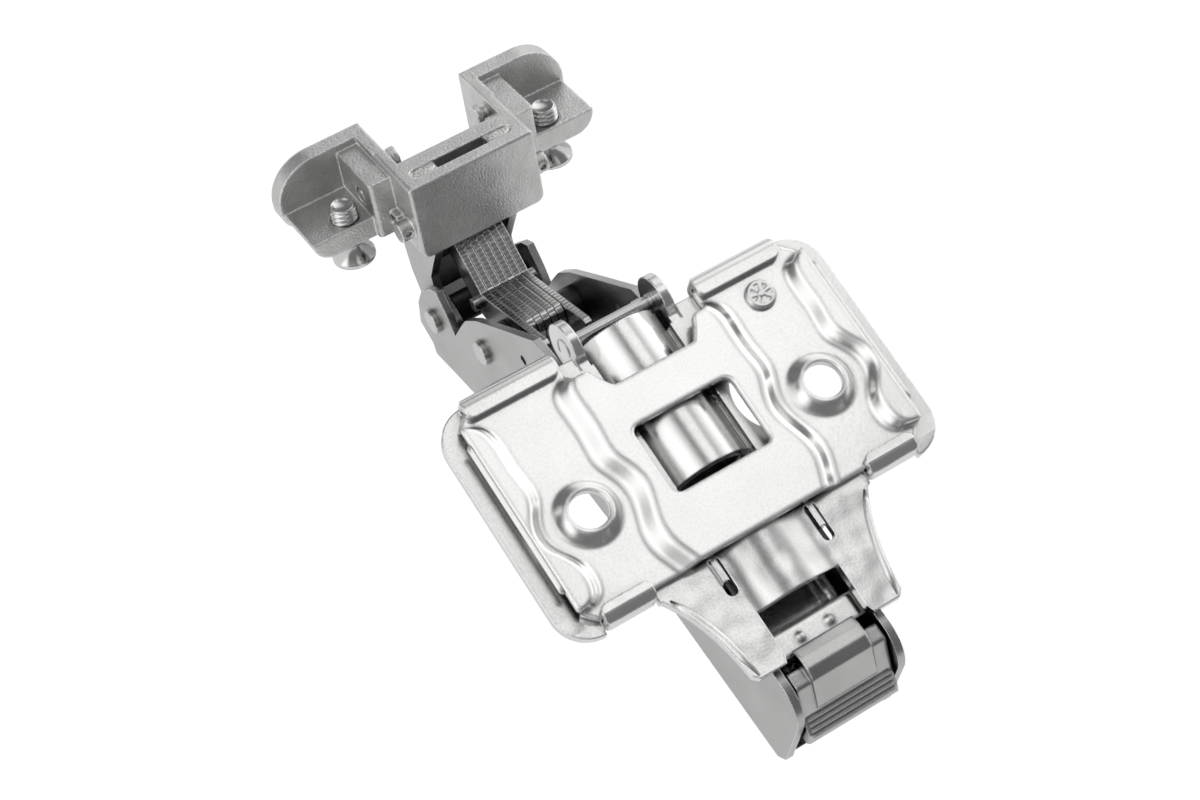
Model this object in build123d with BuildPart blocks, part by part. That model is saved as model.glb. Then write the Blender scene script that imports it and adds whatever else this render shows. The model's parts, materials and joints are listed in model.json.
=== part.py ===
"""Concealed cabinet hinge for an aluminium-frame door, with its wing mounting plate.

Row frame, millimetres: the origin is the centre of the two-hole pattern on the face that
lies on the cabinet side, Z points into that side, X points out of the cabinet and the two
fixing holes lie along Y.  The hinge is clipped on and stands part open.
"""

import os
from math import cos, radians, sin, sqrt

from build123d import *

os.makedirs("parts", exist_ok=True)

# --- driving dimensions -----------------------------------------------------------------
HOLE_SPACING = 32.0  # fixing holes, the common cabinet pitch
HOLE_R = 2.3
RUN = 0.05  # radial running clearance of every pin and screw
GAP = 0.3  # clearance between parts that pass each other

# base plate: the near sheet, screwed to the cabinet side
BASE_T = 1.0
WING_Z = -1.4  # near face of the sunk wings
BASE_HALF = 23.4
BASE_FRONT = 17.4
BASE_REAR = -11.15
CENTRE_RUN, MARGIN_RUN = 2.7, 1.8  # sideways run of the raised edges over their height

# saddle plate: the far sheet, which slides along Y behind the base plate
SADDLE_T = 1.2
SADDLE_Z = WING_Z - BASE_T - RUN
SADDLE_HALF = 25.9
SADDLE_FRONT = 17.25
SADDLE_CORNER = 18.3  # front of the sheet outside the rolled edges
SADDLE_REAR = -12.7
CORNER_R = 4.5
HEM_R = 1.65
BARREL_R = 6.2
BARREL_TOP = -1.3
BARREL_HALF = 5.3
EAR_IN = 5.6
EAR_T = 1.2
EAR_X, EAR_Z = 19.2, -4.0
EAR_R = 3.3
ROD_X, ROD_Z = 19.9, -5.1
ROD_R = 0.88

# height cam
CAM_X, CAM_Y = 12.9, 7.3 - BASE_HALF
CAM_THROW = 2.2

# carriage and slide plate inside the arm
CARRIAGE_WEB = -11.2  # far face of the carriage web
CHANNEL_T = 1.2
SLIDE_T = 1.5
TILT_X, TILT_Z = -15.0, -15.2
LEVER_X, LEVER_Z = -26.0, -11.5
PIN_R = 1.2

# arm
ARM_HALF = 7.45
ARM_T = 1.0
SLIDE_HALF = ARM_HALF - ARM_T - 0.55
LEVER_HALF = ARM_HALF - ARM_T - 0.35

# four-bar mechanism, row X and Z of the pivots at rest
P1 = (43.05, -39.2)  # arm to outer link
P2 = (32.3, -28.6)  # arm to laminated link
PIVOT_R = 1.5
P3_R = 1.2
P4_R = 0.9
PLATE_COUNT = 7
PLATE_T = 0.96
PLATE_AIR = 0.06

# bracket frame: V runs out along the door edge, U runs away from the cabinet side
OPENING = 65.0
BRACKET_X, BRACKET_Z = 49.63, -13.36
P3_U, P3_V = 8.0, 3.6  # outer link to bracket
P4_U, P4_V = 7.0, 8.2  # laminated link to bracket, the pivot left open
WALL_IN = 7.45
WALL_OUT = 8.95
OPEN_PIVOT_AIR = 1.06

tilt = radians(OPENING - 90)
V_DIR = Vector(cos(tilt), 0, sin(tilt))
U_DIR = Vector(sin(tilt), 0, -cos(tilt))
BRACKET_O = Vector(BRACKET_X, 0, BRACKET_Z)


def side(y):
    """Plane whose sketch runs along row X and row Z; extrusion goes towards -Y."""
    return Plane(origin=(0, y, 0), x_dir=(1, 0, 0), z_dir=(0, -1, 0))


def bracket_side(y):
    """Plane whose sketch runs along V and -U; extrusion goes towards -Y."""
    return Plane(origin=BRACKET_O + Vector(0, y, 0), x_dir=V_DIR, z_dir=(0, -1, 0))


def deck(u):
    """Plane at depth u whose sketch runs along V and row Y; extrusion goes towards -U."""
    return Plane(origin=BRACKET_O + U_DIR * u, x_dir=V_DIR, z_dir=U_DIR * -1)


def front(v):
    """Plane at distance v whose sketch runs along row Y and -U; extrusion goes along V."""
    return Plane(origin=BRACKET_O + V_DIR * v, x_dir=(0, 1, 0), z_dir=V_DIR)


def row_xz(u, v):
    """Row X and Z of a point given in the bracket's U and V."""
    point = BRACKET_O + U_DIR * u + V_DIR * v
    return (point.X, point.Z)


P3 = row_xz(P3_U, P3_V)
P4 = row_xz(P4_U, P4_V)


def across(name, radius, half, at):
    """A plain round pin along Y, centred on the row's middle plane."""
    with BuildPart() as pin:
        with BuildSketch(side(0)):
            with Locations(at):
                Circle(radius)
        extrude(amount=half, both=True)
    pin.part.label = name
    return pin.part


# --- base plate ---------------------------------------------------------------------------
# Outlines are for the +Y half, at the foot of each raised edge.
CENTRE_RIB = (
    (18.0, 7.6), (16.5, 8.0), (15.6, 9.2), (15.1, 10.6), (13.9, 11.9), (11.7, 12.25), (7.8, 12.2),
    (4.3, 12.3), (2.2, 11.5), (-0.3, 11.0), (-3.0, 11.6), (-5.4, 12.25), (-7.6, 12.2),
    (-10.2, 11.3), (-14.0, 10.9),
)
MARGIN_RIB = (
    (15.5, 24.5), (15.4, 22.2), (14.5, 20.5), (12.2, 19.7), (8.4, 19.7), (4.4, 19.6), (1.4, 21.1),
    (-1.2, 21.2), (-4.1, 19.5), (-6.9, 19.0), (-8.9, 19.8), (-9.5, 21.5), (-9.6, 24.5),
)
BASE_OUTLINE = (
    (11.4, 0), (11.4, 5.5), (13.2, 6.7), (14.4, 7.2), (14.4, 9.4), (BASE_FRONT, 9.4),
    (BASE_FRONT, 21.7), (15.7, BASE_HALF), (-9.2, BASE_HALF), (BASE_REAR, 21.6), (BASE_REAR, 0),
)
POCKET_IN = 0.4  # wall left between a raised edge and the hollow behind it
RIB_STEPS = ((0, 0), (0.15, 0.26), (0.85, 0.74), (1, 1))  # height and run, easing in at foot and top
NOTCH_R = 0.6

with BuildPart() as base_plate:
    with BuildSketch(Plane.XY.offset(WING_Z - BASE_T)):
        Rectangle(60, 2 * BASE_HALF + 4)
    extrude(amount=BASE_T)
    for level, inset, operation in ((WING_Z, 0, Mode.ADD), (WING_Z - BASE_T, POCKET_IN, Mode.SUBTRACT)):
        for rise, run in RIB_STEPS:
            slope = run * CENTRE_RUN
            with BuildSketch(Plane.XY.offset(level - rise * WING_Z)):
                with BuildLine():
                    upper = Spline(*[(x, y - inset - slope) for x, y in CENTRE_RIB])
                    lower = Spline(*[(x, inset + slope - y) for x, y in CENTRE_RIB])
                    Line(upper @ 0, lower @ 0)
                    Line(upper @ 1, lower @ 1)
                make_face()
        loft(ruled=True, mode=operation)
        for s in (-1, 1):
            for rise, run in RIB_STEPS:
                slope = run * MARGIN_RUN
                with BuildSketch(Plane.XY.offset(level - rise * WING_Z)):
                    with BuildLine():
                        rib = Spline(*[(x, s * (y + inset + slope)) for x, y in MARGIN_RIB])
                        out = Vector(0, s * 6)
                        Polyline(rib @ 0, rib @ 0 + out, rib @ 1 + out, rib @ 1)
                    make_face()
            loft(ruled=True, mode=operation)
    # raised screw seats, countersunk from the far side
    with Locations(*[(0, s * HOLE_SPACING / 2, 0) for s in (-1, 1)]):
        with Locations((0, 0, WING_Z / 2)):
            Cone(4.0, 2.82, -WING_Z)
    with BuildSketch(Plane.XY.offset(WING_Z - BASE_T)):
        with BuildLine():
            Polyline(*BASE_OUTLINE)
            Line(BASE_OUTLINE[-1], BASE_OUTLINE[0])
        make_face()
        mirror(about=Plane.XZ)
        fillet(vertices().filter_by(lambda corner: abs(corner.Y) > 1), NOTCH_R)
    extrude(amount=BASE_T - WING_Z, mode=Mode.INTERSECT)
    with BuildSketch(Plane.XY):
        with Locations((1.3, 0)):
            RectangleRounded(9.4, 13.5, 1.2)
        with Locations(*[(0, s * HOLE_SPACING / 2) for s in (-1, 1)]):
            Circle(HOLE_R)
        with Locations((CAM_X, CAM_Y)):
            Circle(1.5 + RUN)
    extrude(amount=WING_Z - BASE_T, mode=Mode.SUBTRACT)
    with Locations(*[(0, s * HOLE_SPACING / 2, 0) for s in (-1, 1)]):
        with Locations((0, 0, -1.75)):
            Cone(3.6, HOLE_R, 1.3, mode=Mode.SUBTRACT)

# --- height cam ---------------------------------------------------------------------------
CAM_R = 2.4
CAM_HEAD_T = 0.7
with BuildPart() as height_cam:
    with BuildSketch(Plane.XY.offset(WING_Z)):
        with Locations((CAM_X, CAM_Y)):
            Circle(1.83)
    extrude(amount=CAM_HEAD_T)
    fillet(height_cam.edges().group_by(Axis.Z)[-1], 0.25)
    # star of wedges left by the staking punch, round a small nub
    with BuildSketch(Plane.XY.offset(WING_Z + CAM_HEAD_T)):
        with Locations((CAM_X, CAM_Y)):
            with PolarLocations(1.0, 7):
                Triangle(a=0.62, b=0.9, c=0.9, rotation=90)
    extrude(amount=-0.12, mode=Mode.SUBTRACT)
    with BuildSketch(Plane.XY.offset(WING_Z + CAM_HEAD_T)):
        with Locations((CAM_X, CAM_Y)):
            Circle(0.42)
    extrude(amount=0.15)
    with BuildSketch(Plane.XY.offset(WING_Z)):
        with Locations((CAM_X, CAM_Y)):
            Circle(1.5)
    extrude(amount=-BASE_T - RUN)
    with BuildSketch(Plane.XY.offset(SADDLE_Z)):
        with Locations((CAM_X - CAM_THROW, CAM_Y)):
            Circle(CAM_R)
    extrude(amount=-SADDLE_T - GAP)
    with BuildSketch(Plane.XY.offset(SADDLE_Z - SADDLE_T - GAP)):
        with Locations((CAM_X, CAM_Y)):
            Circle(3.4)
    extrude(amount=-1.2)
    with BuildSketch(Plane.XY.offset(SADDLE_Z - SADDLE_T - GAP - 1.2)):
        with Locations((CAM_X, CAM_Y)):
            Rectangle(3.6, 0.8)
            Rectangle(0.8, 3.6)
    extrude(amount=0.8, mode=Mode.SUBTRACT)

# --- saddle plate -------------------------------------------------------------------------
BARREL_AXIS = BARREL_TOP - BARREL_R
BARREL_SIDE = BARREL_AXIS + sqrt(BARREL_R**2 - BARREL_HALF**2)
BARREL_FRONT = 18.35
BARREL_END = -1.8
SKIRT_Z = -7.0
INNER_HALF = BARREL_HALF - SADDLE_T
INNER_SIDE = BARREL_AXIS + sqrt((BARREL_R - SADDLE_T) ** 2 - INNER_HALF**2)
DOME_HALF = 5.7
DOME_RISE = BARREL_TOP - SADDLE_Z
DOME_END = -19.0
DOME_RUN = 10.5
SADDLE_FAR = SADDLE_Z - SADDLE_T
HEM_AXIS = SADDLE_FAR + HEM_R


HEM_TOP = HEM_AXIS + HEM_R
HEM_LIP_T = 1.0
HEM_IN_R = (HEM_TOP - HEM_LIP_T - SADDLE_Z) / 2
HEM_LEFT, HEM_RIGHT = 21.8, -21.0
HEM_END_R = 0.9


def rolled_edge(y0, y1, edge, lip, outward):
    """A sheet edge rolled back over the base plate, its ends rounded; outward is 1 or -1 along X."""
    nose = edge + outward * HEM_R
    with BuildPart() as hem:
        with BuildSketch(side(y1)):
            with BuildLine():
                Polyline((edge, HEM_TOP), (lip, HEM_TOP), (lip, HEM_TOP - HEM_LIP_T), (edge, HEM_TOP - HEM_LIP_T))
                ThreePointArc((edge, HEM_TOP - HEM_LIP_T), (edge + outward * HEM_IN_R, SADDLE_Z + HEM_IN_R),
                              (edge, SADDLE_Z))
                Line((edge, SADDLE_Z), (edge, SADDLE_FAR))
                ThreePointArc((edge, SADDLE_FAR), (nose, HEM_AXIS), (edge, HEM_TOP))
            make_face()
        extrude(amount=y1 - y0)
        with BuildSketch(Plane.XY.offset(SADDLE_FAR)):
            with Locations(((nose + lip) / 2, (y0 + y1) / 2)):
                RectangleRounded(abs(nose - lip), y1 - y0, HEM_END_R)
        extrude(amount=2 * HEM_R, mode=Mode.INTERSECT)
    return hem.part


with BuildPart() as saddle_plate:
    with BuildSketch(Plane.XY.offset(SADDLE_FAR)):
        with Locations(((SADDLE_CORNER + SADDLE_REAR) / 2, 0)):
            RectangleRounded(SADDLE_CORNER - SADDLE_REAR, 2 * SADDLE_HALF, CORNER_R)
        with Locations(((SADDLE_FRONT + SADDLE_CORNER + 1) / 2, (HEM_LEFT + HEM_RIGHT) / 2)):
            Rectangle(SADDLE_CORNER + 1 - SADDLE_FRONT, HEM_LEFT - HEM_RIGHT, mode=Mode.SUBTRACT)
        with BuildLine():
            flank = Spline((-12.0, 14.6), (-16.0, 12.3), (-20.0, 11.0), (-24.9, 10.2))
            Polyline(flank @ 1, (-25.6, 9.5), (-25.6, 6.0), (-24.6, EAR_IN), (DOME_END, EAR_IN),
                     (DOME_END, 0), (-12.0, 0))
            Line((-12.0, 0), flank @ 0)
        make_face()
        mirror(about=Plane.XZ)
        # clear of the rolled rear edges
        for s in (-1, 1):
            with Locations((-12.0, s * 17.9)):
                Rectangle(2.1, 7.0, mode=Mode.SUBTRACT)
        # screwdriver openings over the fixing holes
        with Locations(*[(0, s * HOLE_SPACING / 2) for s in (-1, 1)]):
            RectangleRounded(8.2, 12.0, 4.0, mode=Mode.SUBTRACT)
        # round openings beside the barrel and the mouth for the barrel itself
        with Locations(*[(2.7, s * 11.6) for s in (-1, 1)]):
            Circle(5.4, mode=Mode.SUBTRACT)
        with Locations((8.0, 0)):
            Rectangle(24.0, 2 * BARREL_HALF, mode=Mode.SUBTRACT)
        # front edge between the rolled edges
        with Locations((17.2, 0)):
            Rectangle(3.4, 2 * (EAR_IN + EAR_T + GAP), mode=Mode.SUBTRACT)
        # slot for the height cam
        with Locations((CAM_X - CAM_THROW + 0.55, CAM_Y)):
            Rectangle(2 * CAM_R + 1.9, 2 * CAM_R + 2 * GAP, mode=Mode.SUBTRACT)
        # lanced tab slots in the rear lug
        with Locations(*[(-13.6, s * 6.6) for s in (-1, 1)]):
            SlotOverall(5.0, 1.5, mode=Mode.SUBTRACT)
    extrude(amount=SADDLE_T)
    # barrel, a bent sheet that crowns between the ears and ends in the window
    with BuildSketch(Plane.YZ.offset(BARREL_END)):
        with BuildLine():
            Line((-BARREL_HALF, SKIRT_Z), (-BARREL_HALF, BARREL_SIDE))
            ThreePointArc((-BARREL_HALF, BARREL_SIDE), (0, BARREL_TOP), (BARREL_HALF, BARREL_SIDE))
            Line((BARREL_HALF, BARREL_SIDE), (BARREL_HALF, SKIRT_Z))
            Line((BARREL_HALF, SKIRT_Z), (INNER_HALF, SKIRT_Z))
            Line((INNER_HALF, SKIRT_Z), (INNER_HALF, INNER_SIDE))
            ThreePointArc((INNER_HALF, INNER_SIDE), (0, BARREL_TOP - SADDLE_T), (-INNER_HALF, INNER_SIDE))
            Line((-INNER_HALF, INNER_SIDE), (-INNER_HALF, SKIRT_Z))
            Line((-INNER_HALF, SKIRT_Z), (-BARREL_HALF, SKIRT_Z))
        make_face()
    extrude(amount=BARREL_FRONT - BARREL_END)
    # fold walls that carry the barrel
    for s in (-1, 1):
        with BuildSketch(Plane.XY.offset(SADDLE_FAR)):
            with Locations((5.3, s * (BARREL_HALF + 0.35))):
                Rectangle(20.4, 0.9)
        extrude(amount=SKIRT_Z - SADDLE_FAR)
    # rear dome, swelling smoothly out of the sheet
    for level, mode in ((SADDLE_Z, Mode.ADD), (SADDLE_FAR, Mode.SUBTRACT)):
        with BuildSketch(Plane.YZ.offset(DOME_END)):
            with BuildLine():
                swell = Spline(
                    (-DOME_HALF, level), (-0.4 * DOME_HALF, level + 0.75 * DOME_RISE), (0, level + DOME_RISE),
                    (0.4 * DOME_HALF, level + 0.75 * DOME_RISE), (DOME_HALF, level), tangents=((1, 0), (1, 0)),
                )
                Polyline(swell @ 0, (-DOME_HALF, level - 0.3), (DOME_HALF, level - 0.3), swell @ 1)
            make_face()
        extrude(amount=DOME_RUN, mode=mode)
    # turned-down inner edges of the lug's prongs
    for s in (-1, 1):
        with BuildSketch(side(s * (EAR_IN + 0.5) + 0.5)):
            with Locations((-21.8, -3.5)):
                Rectangle(5.4, 1.0)
        extrude(amount=1.0)
    # lanced tabs standing in their slots
    with BuildSketch(Plane.XY.offset(SADDLE_FAR)):
        with Locations(*[(-12.6, s * 6.6) for s in (-1, 1)]):
            Rectangle(3.4, 0.7)
    extrude(amount=SADDLE_T + 0.35)
    # rolled edges that hold the base plate
    add(rolled_edge(9.6, HEM_LEFT, SADDLE_FRONT, 15.9, 1))
    add(rolled_edge(HEM_RIGHT, -9.6, SADDLE_FRONT, 15.9, 1))
    add(rolled_edge(14.6, 21.2, -10.95, -10.0, -1))
    add(rolled_edge(-21.2, -14.6, -10.95, -10.0, -1))
    # ears at the front, bent down from the sheet
    for s in (-1, 1):
        with BuildSketch(side(s * (EAR_IN + EAR_T / 2) + EAR_T / 2)):
            with Locations((EAR_X, EAR_Z)):
                Circle(EAR_R)
            with Locations((16.4, (SADDLE_Z + SKIRT_Z) / 2)):
                Rectangle(4.4, SADDLE_Z - SKIRT_Z)
        extrude(amount=EAR_T)
    # stake left standing on the right ear's inner face
    with BuildSketch(side(-EAR_IN - 0.5)):
        with Locations((EAR_X + 0.3, EAR_Z + 0.4)):
            Circle(0.6)
    extrude(amount=-0.9)

hook_rod = across("hook_rod", ROD_R, EAR_IN, (ROD_X, ROD_Z))

# --- carriage: the channel that hooks on the rod and latches on the lug -----------------------
CARRIAGE_REAR = -23.6
CARRIAGE_FRONT = 18.0
CARRIAGE_TOP = SKIRT_Z - GAP
LEVER_EAR_IN = 3.6
LEVER_EAR_T = 1.0
TONGUE_Z = -5.2
TONGUE_HALF = SLIDE_HALF + 0.2
with BuildPart() as carriage:
    with BuildSketch(side(0)):
        with BuildLine():
            Polyline(
                (CARRIAGE_REAR, CARRIAGE_WEB), (CARRIAGE_FRONT, CARRIAGE_WEB), (ROD_X + 1.4, ROD_Z - 3.2),
                (ROD_X + 1.4, ROD_Z - 1.0), (ROD_X - 0.9, ROD_Z - 1.0), (ROD_X - 1.3, CARRIAGE_TOP),
                (CARRIAGE_REAR, CARRIAGE_TOP), (CARRIAGE_REAR, CARRIAGE_WEB),
            )
        make_face()
    extrude(amount=EAR_IN - GAP, both=True)
    with BuildSketch(side(0)):
        with Locations(((CARRIAGE_FRONT + CARRIAGE_REAR) / 2 + 4, CARRIAGE_WEB + CHANNEL_T + 5)):
            Rectangle(60, 10)
    extrude(amount=EAR_IN - GAP - CHANNEL_T, both=True, mode=Mode.SUBTRACT)
    # rear ears for the lever pin
    for s in (-1, 1):
        with BuildSketch(side(s * (LEVER_EAR_IN + LEVER_EAR_T / 2) + LEVER_EAR_T / 2)):
            with Locations((LEVER_X, LEVER_Z)):
                Circle(2.2)
            with Locations((LEVER_X + 2.4, LEVER_Z + 1.15)):
                Rectangle(4.8, 2.1)
            with Locations((LEVER_X, LEVER_Z)):
                Circle(PIN_R, mode=Mode.SUBTRACT)
        extrude(amount=LEVER_EAR_T)
    # tongue with two dimples, seen in the mouth of the lug
    with BuildSketch(side(0)):
        with BuildLine():
            Polyline((-21.8, CARRIAGE_WEB), (-20.6, CARRIAGE_WEB), (-21.5, TONGUE_Z), (-24.7, TONGUE_Z),
                     (-24.7, TONGUE_Z - 1.0), (-22.6, TONGUE_Z - 1.0), (-21.8, CARRIAGE_WEB))
        make_face()
        fillet(vertices().sort_by_distance((-21.5, TONGUE_Z, 0))[0], 0.6)
    extrude(amount=TONGUE_HALF, both=True)
    with Locations(*[(-23.3, s * 2.0, TONGUE_Z - 0.25) for s in (-1, 1)]):
        Sphere(0.7)
    # depth screw hole
    with BuildSketch(Plane.XY.offset(CARRIAGE_WEB)):
        with Locations((-8.0, 0)):
            Circle(2.0 + RUN)
    extrude(amount=CHANNEL_T, mode=Mode.SUBTRACT)

lever_pin = across("lever_pin", PIN_R, SLIDE_HALF - 0.1, (LEVER_X, LEVER_Z))

with BuildPart() as lever_spring:
    with BuildLine():
        coil = Helix(pitch=1.0, height=6.0, radius=1.75, center=(LEVER_X, -3.0, LEVER_Z), direction=(0, 1, 0))
    with BuildSketch(Plane(origin=coil @ 0, z_dir=coil % 0)):
        Circle(0.3)
    sweep()

# --- clip lever ---------------------------------------------------------------------------
with BuildPart() as clip_lever:
    with BuildSketch(side(0)):
        with BuildLine():
            Polyline(
                (-26.2, -4.7), (-28.4, -4.7), (-31.0, -8.4), (-32.8, -9.9), (-33.4, -11.0), (-32.9, -12.2),
                (-31.5, -12.5), (-31.8, -11.3), (-30.2, -9.6), (-27.9, -6.1), (-26.2, -6.1), (-26.2, -4.7),
            )
        make_face()
    extrude(amount=LEVER_HALF, both=True)
    fillet(clip_lever.edges().filter_by(Axis.Y), 0.45)
    # raised hump that reaches over the tongue
    with BuildSketch(side(0)):
        with BuildLine():
            Polyline((-24.4, -4.85), (-24.4, -4.3), (-25.6, -3.75), (-27.2, -3.6), (-28.4, -4.1), (-30.8, -7.6),
                     (-30.2, -8.9), (-27.9, -5.4), (-26.3, -4.85), (-24.4, -4.85))
        make_face()
        fillet(vertices().sort_by(Axis.Y)[-3:], 0.8)
    extrude(amount=4.1, both=True)
    # grip ribs
    for step in range(4):
        with Locations((-31.25 - 0.56 * step, 0, -8.6 - 0.47 * step)):
            Box(0.4, 2 * LEVER_HALF - 0.8, 0.4, rotation=(0, -40, 0))
    # cheeks down to the pin
    for s in (-1, 1):
        with BuildSketch(side(s * (LEVER_HALF - 0.5) + 0.5)):
            with BuildLine():
                Polyline((-26.3, -5.5), (-28.2, -5.5), (-31.4, -9.6), (-30.0, -12.4), (-27.4, -13.6), (-24.4, -13.0),
                         (-24.2, -10.4), (-26.3, -5.5))
            make_face()
            with Locations((LEVER_X, LEVER_Z)):
                Circle(PIN_R + RUN, mode=Mode.SUBTRACT)
        extrude(amount=1.0)

# --- slide plate, depth screw, tilt pin and side screw ----------------------------------------
SLIDE_TOP = CARRIAGE_WEB - RUN
SIDE_SCREW_X = 6.0
with BuildPart() as slide_plate:
    with BuildSketch(Plane.XY.offset(SLIDE_TOP)):
        with Locations((-4.0, 0)):
            RectangleRounded(30.0, 2 * SLIDE_HALF, 1.5)
        with Locations((-8.0, 0)):
            SlotOverall(9.0, 4.2, mode=Mode.SUBTRACT)
        with Locations((SIDE_SCREW_X, 0)):
            Circle(2.0 + RUN, mode=Mode.SUBTRACT)
    extrude(amount=-SLIDE_T)
    for s in (-1, 1):
        with BuildSketch(side(s * (SLIDE_HALF - 0.6) + 0.6)):
            with Locations((TILT_X, TILT_Z)):
                Circle(2.4)
            with Locations((TILT_X, (TILT_Z + SLIDE_TOP) / 2)):
                Rectangle(4.8, SLIDE_TOP - TILT_Z)
            with Locations((TILT_X, TILT_Z)):
                Circle(PIN_R + RUN, mode=Mode.SUBTRACT)
        extrude(amount=1.2)

tilt_pin = across("tilt_pin", PIN_R, ARM_HALF - 0.05, (TILT_X, TILT_Z))

with BuildPart() as depth_screw:
    with BuildSketch(Plane.XY.offset(CARRIAGE_WEB + CHANNEL_T + 0.8)):
        with Locations((-8.0, 0)):
            Circle(2.6)
    extrude(amount=-0.8)
    with BuildSketch(Plane.XY.offset(CARRIAGE_WEB + CHANNEL_T)):
        with Locations((-8.0, 0)):
            Circle(2.0)
    extrude(amount=-CHANNEL_T - RUN - SLIDE_T - GAP)
    with BuildSketch(Plane.XY.offset(SLIDE_TOP - SLIDE_T - GAP)):
        with Locations((-8.0, 0)):
            Circle(3.6)
    extrude(amount=-1.6)
    with BuildSketch(Plane.XY.offset(SLIDE_TOP - SLIDE_T - GAP - 1.6)):
        with Locations((-8.0, 0)):
            Rectangle(4.6, 0.9)
            Rectangle(0.9, 4.6)
    extrude(amount=1.0, mode=Mode.SUBTRACT)

with BuildPart() as side_screw:
    with BuildSketch(Plane.XY.offset(SLIDE_TOP)):
        with Locations((SIDE_SCREW_X, 0)):
            Circle(2.0)
    extrude(amount=-SLIDE_T - GAP)
    with BuildSketch(Plane.XY.offset(SLIDE_TOP - SLIDE_T - GAP)):
        with Locations((SIDE_SCREW_X, 0)):
            Circle(2.6)
    extrude(amount=-9.0)
    with BuildSketch(Plane.XY.offset(SLIDE_TOP - SLIDE_T - GAP - 9.0)):
        with Locations((SIDE_SCREW_X, 0)):
            Circle(2.0)
    extrude(amount=-4.2)
    with BuildSketch(Plane.XY.offset(SLIDE_TOP - SLIDE_T - GAP - 13.2)):
        with Locations((SIDE_SCREW_X, 0)):
            Rectangle(3.0, 0.8)
            Rectangle(0.8, 3.0)
    extrude(amount=1.2, mode=Mode.SUBTRACT)

# --- arm: a cranked channel, open towards the plate --------------------------------------------
ARM_HEEL = (-31.3, -4.0)
ARM_NOSE = ((41.0, -33.9), (43.8, -32.4), (45.2, -33.9), (46.9, -37.6), (47.2, -41.2))
WALL_PROFILE = (
    (-32.5, -17.8), ARM_HEEL, (-10.0, -5.4), (8.0, -7.2),
    (20.0, -8.7), (22.2, -9.2), (24.0, -9.9), (30.6, -18.7), (35.0, -24.7), (37.0, -28.4), (37.7, -31.4),
    (38.5, -35.7), *ARM_NOSE, (46.2, -45.4),
    (42.9, -46.0), (41.8, -47.4), (37.8, -45.2), (33.4, -43.0), (8.6, -24.8), (4.0, -23.8), (-31.4, -19.6),
)
FLOOR = ((-40.0, -19.0), (4.0, -23.8), (8.6, -24.8), (33.4, -43.0), (37.8, -45.2), (43.0, -48.3))
FLOOR_FRONT = 38.5
with BuildPart() as hinge_arm:
    with BuildSketch(side(0)):
        with BuildLine():
            Polyline(*WALL_PROFILE, WALL_PROFILE[0])
        make_face()
        rest = vertices()
        heel = rest.sort_by_distance((*ARM_HEEL, 0))[0]
        nose = [rest.sort_by_distance((*point, 0))[0] for point in ARM_NOSE]
        fillet(heel, 4.5)
        fillet(nose, 1.7)
    extrude(amount=ARM_HALF, both=True)
    with BuildSketch(side(0)):
        with BuildLine():
            Polyline(*[(x, z + ARM_T * 1.15) for x, z in FLOOR], (60, -40), (60, 10), (-40, 10),
                     (FLOOR[0][0], FLOOR[0][1] + ARM_T * 1.15))
        make_face()
        with Locations((FLOOR_FRONT + 10, -45)):
            Rectangle(20, 16)
    extrude(amount=ARM_HALF - ARM_T, both=True, mode=Mode.SUBTRACT)
    with BuildSketch(side(0)):
        with Locations(P1, P2):
            Circle(PIVOT_R)
        with Locations((24.9, -17.1)):
            Circle(0.7)
        with Locations((TILT_X, TILT_Z)):
            Circle(PIN_R)
    extrude(amount=ARM_HALF + 1, both=True, mode=Mode.SUBTRACT)
    # screwdriver holes in the floor for the depth and side screws
    with BuildSketch(Plane.XY.offset(-30)):
        with Locations((-8.0, 0)):
            RectangleRounded(11.0, 7.0, 3.4)
        with Locations((SIDE_SCREW_X, 0)):
            Circle(2.3)
    extrude(amount=14, mode=Mode.SUBTRACT)


def rivet(name, radius, at, half, head_r, head_t):
    """A pivot pin with a flat head upset on each end."""
    with BuildPart() as pin:
        with BuildSketch(side(0)):
            with Locations(at):
                Circle(radius)
        extrude(amount=half, both=True)
        for s in (-1, 1):
            with BuildSketch(side(s * half)):
                with Locations(at):
                    Circle(head_r)
            extrude(amount=-s * head_t)
        fillet(pin.edges().group_by(Axis.Y)[0] + pin.edges().group_by(Axis.Y)[-1], 0.2)
    pin.part.label = name
    return pin.part


pivot_arm_outer = rivet("pivot_arm_outer", PIVOT_R, P1, ARM_HALF, 1.65, 0.8)
pivot_arm_inner = rivet("pivot_arm_inner", PIVOT_R, P2, ARM_HALF, 1.65, 0.8)

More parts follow.
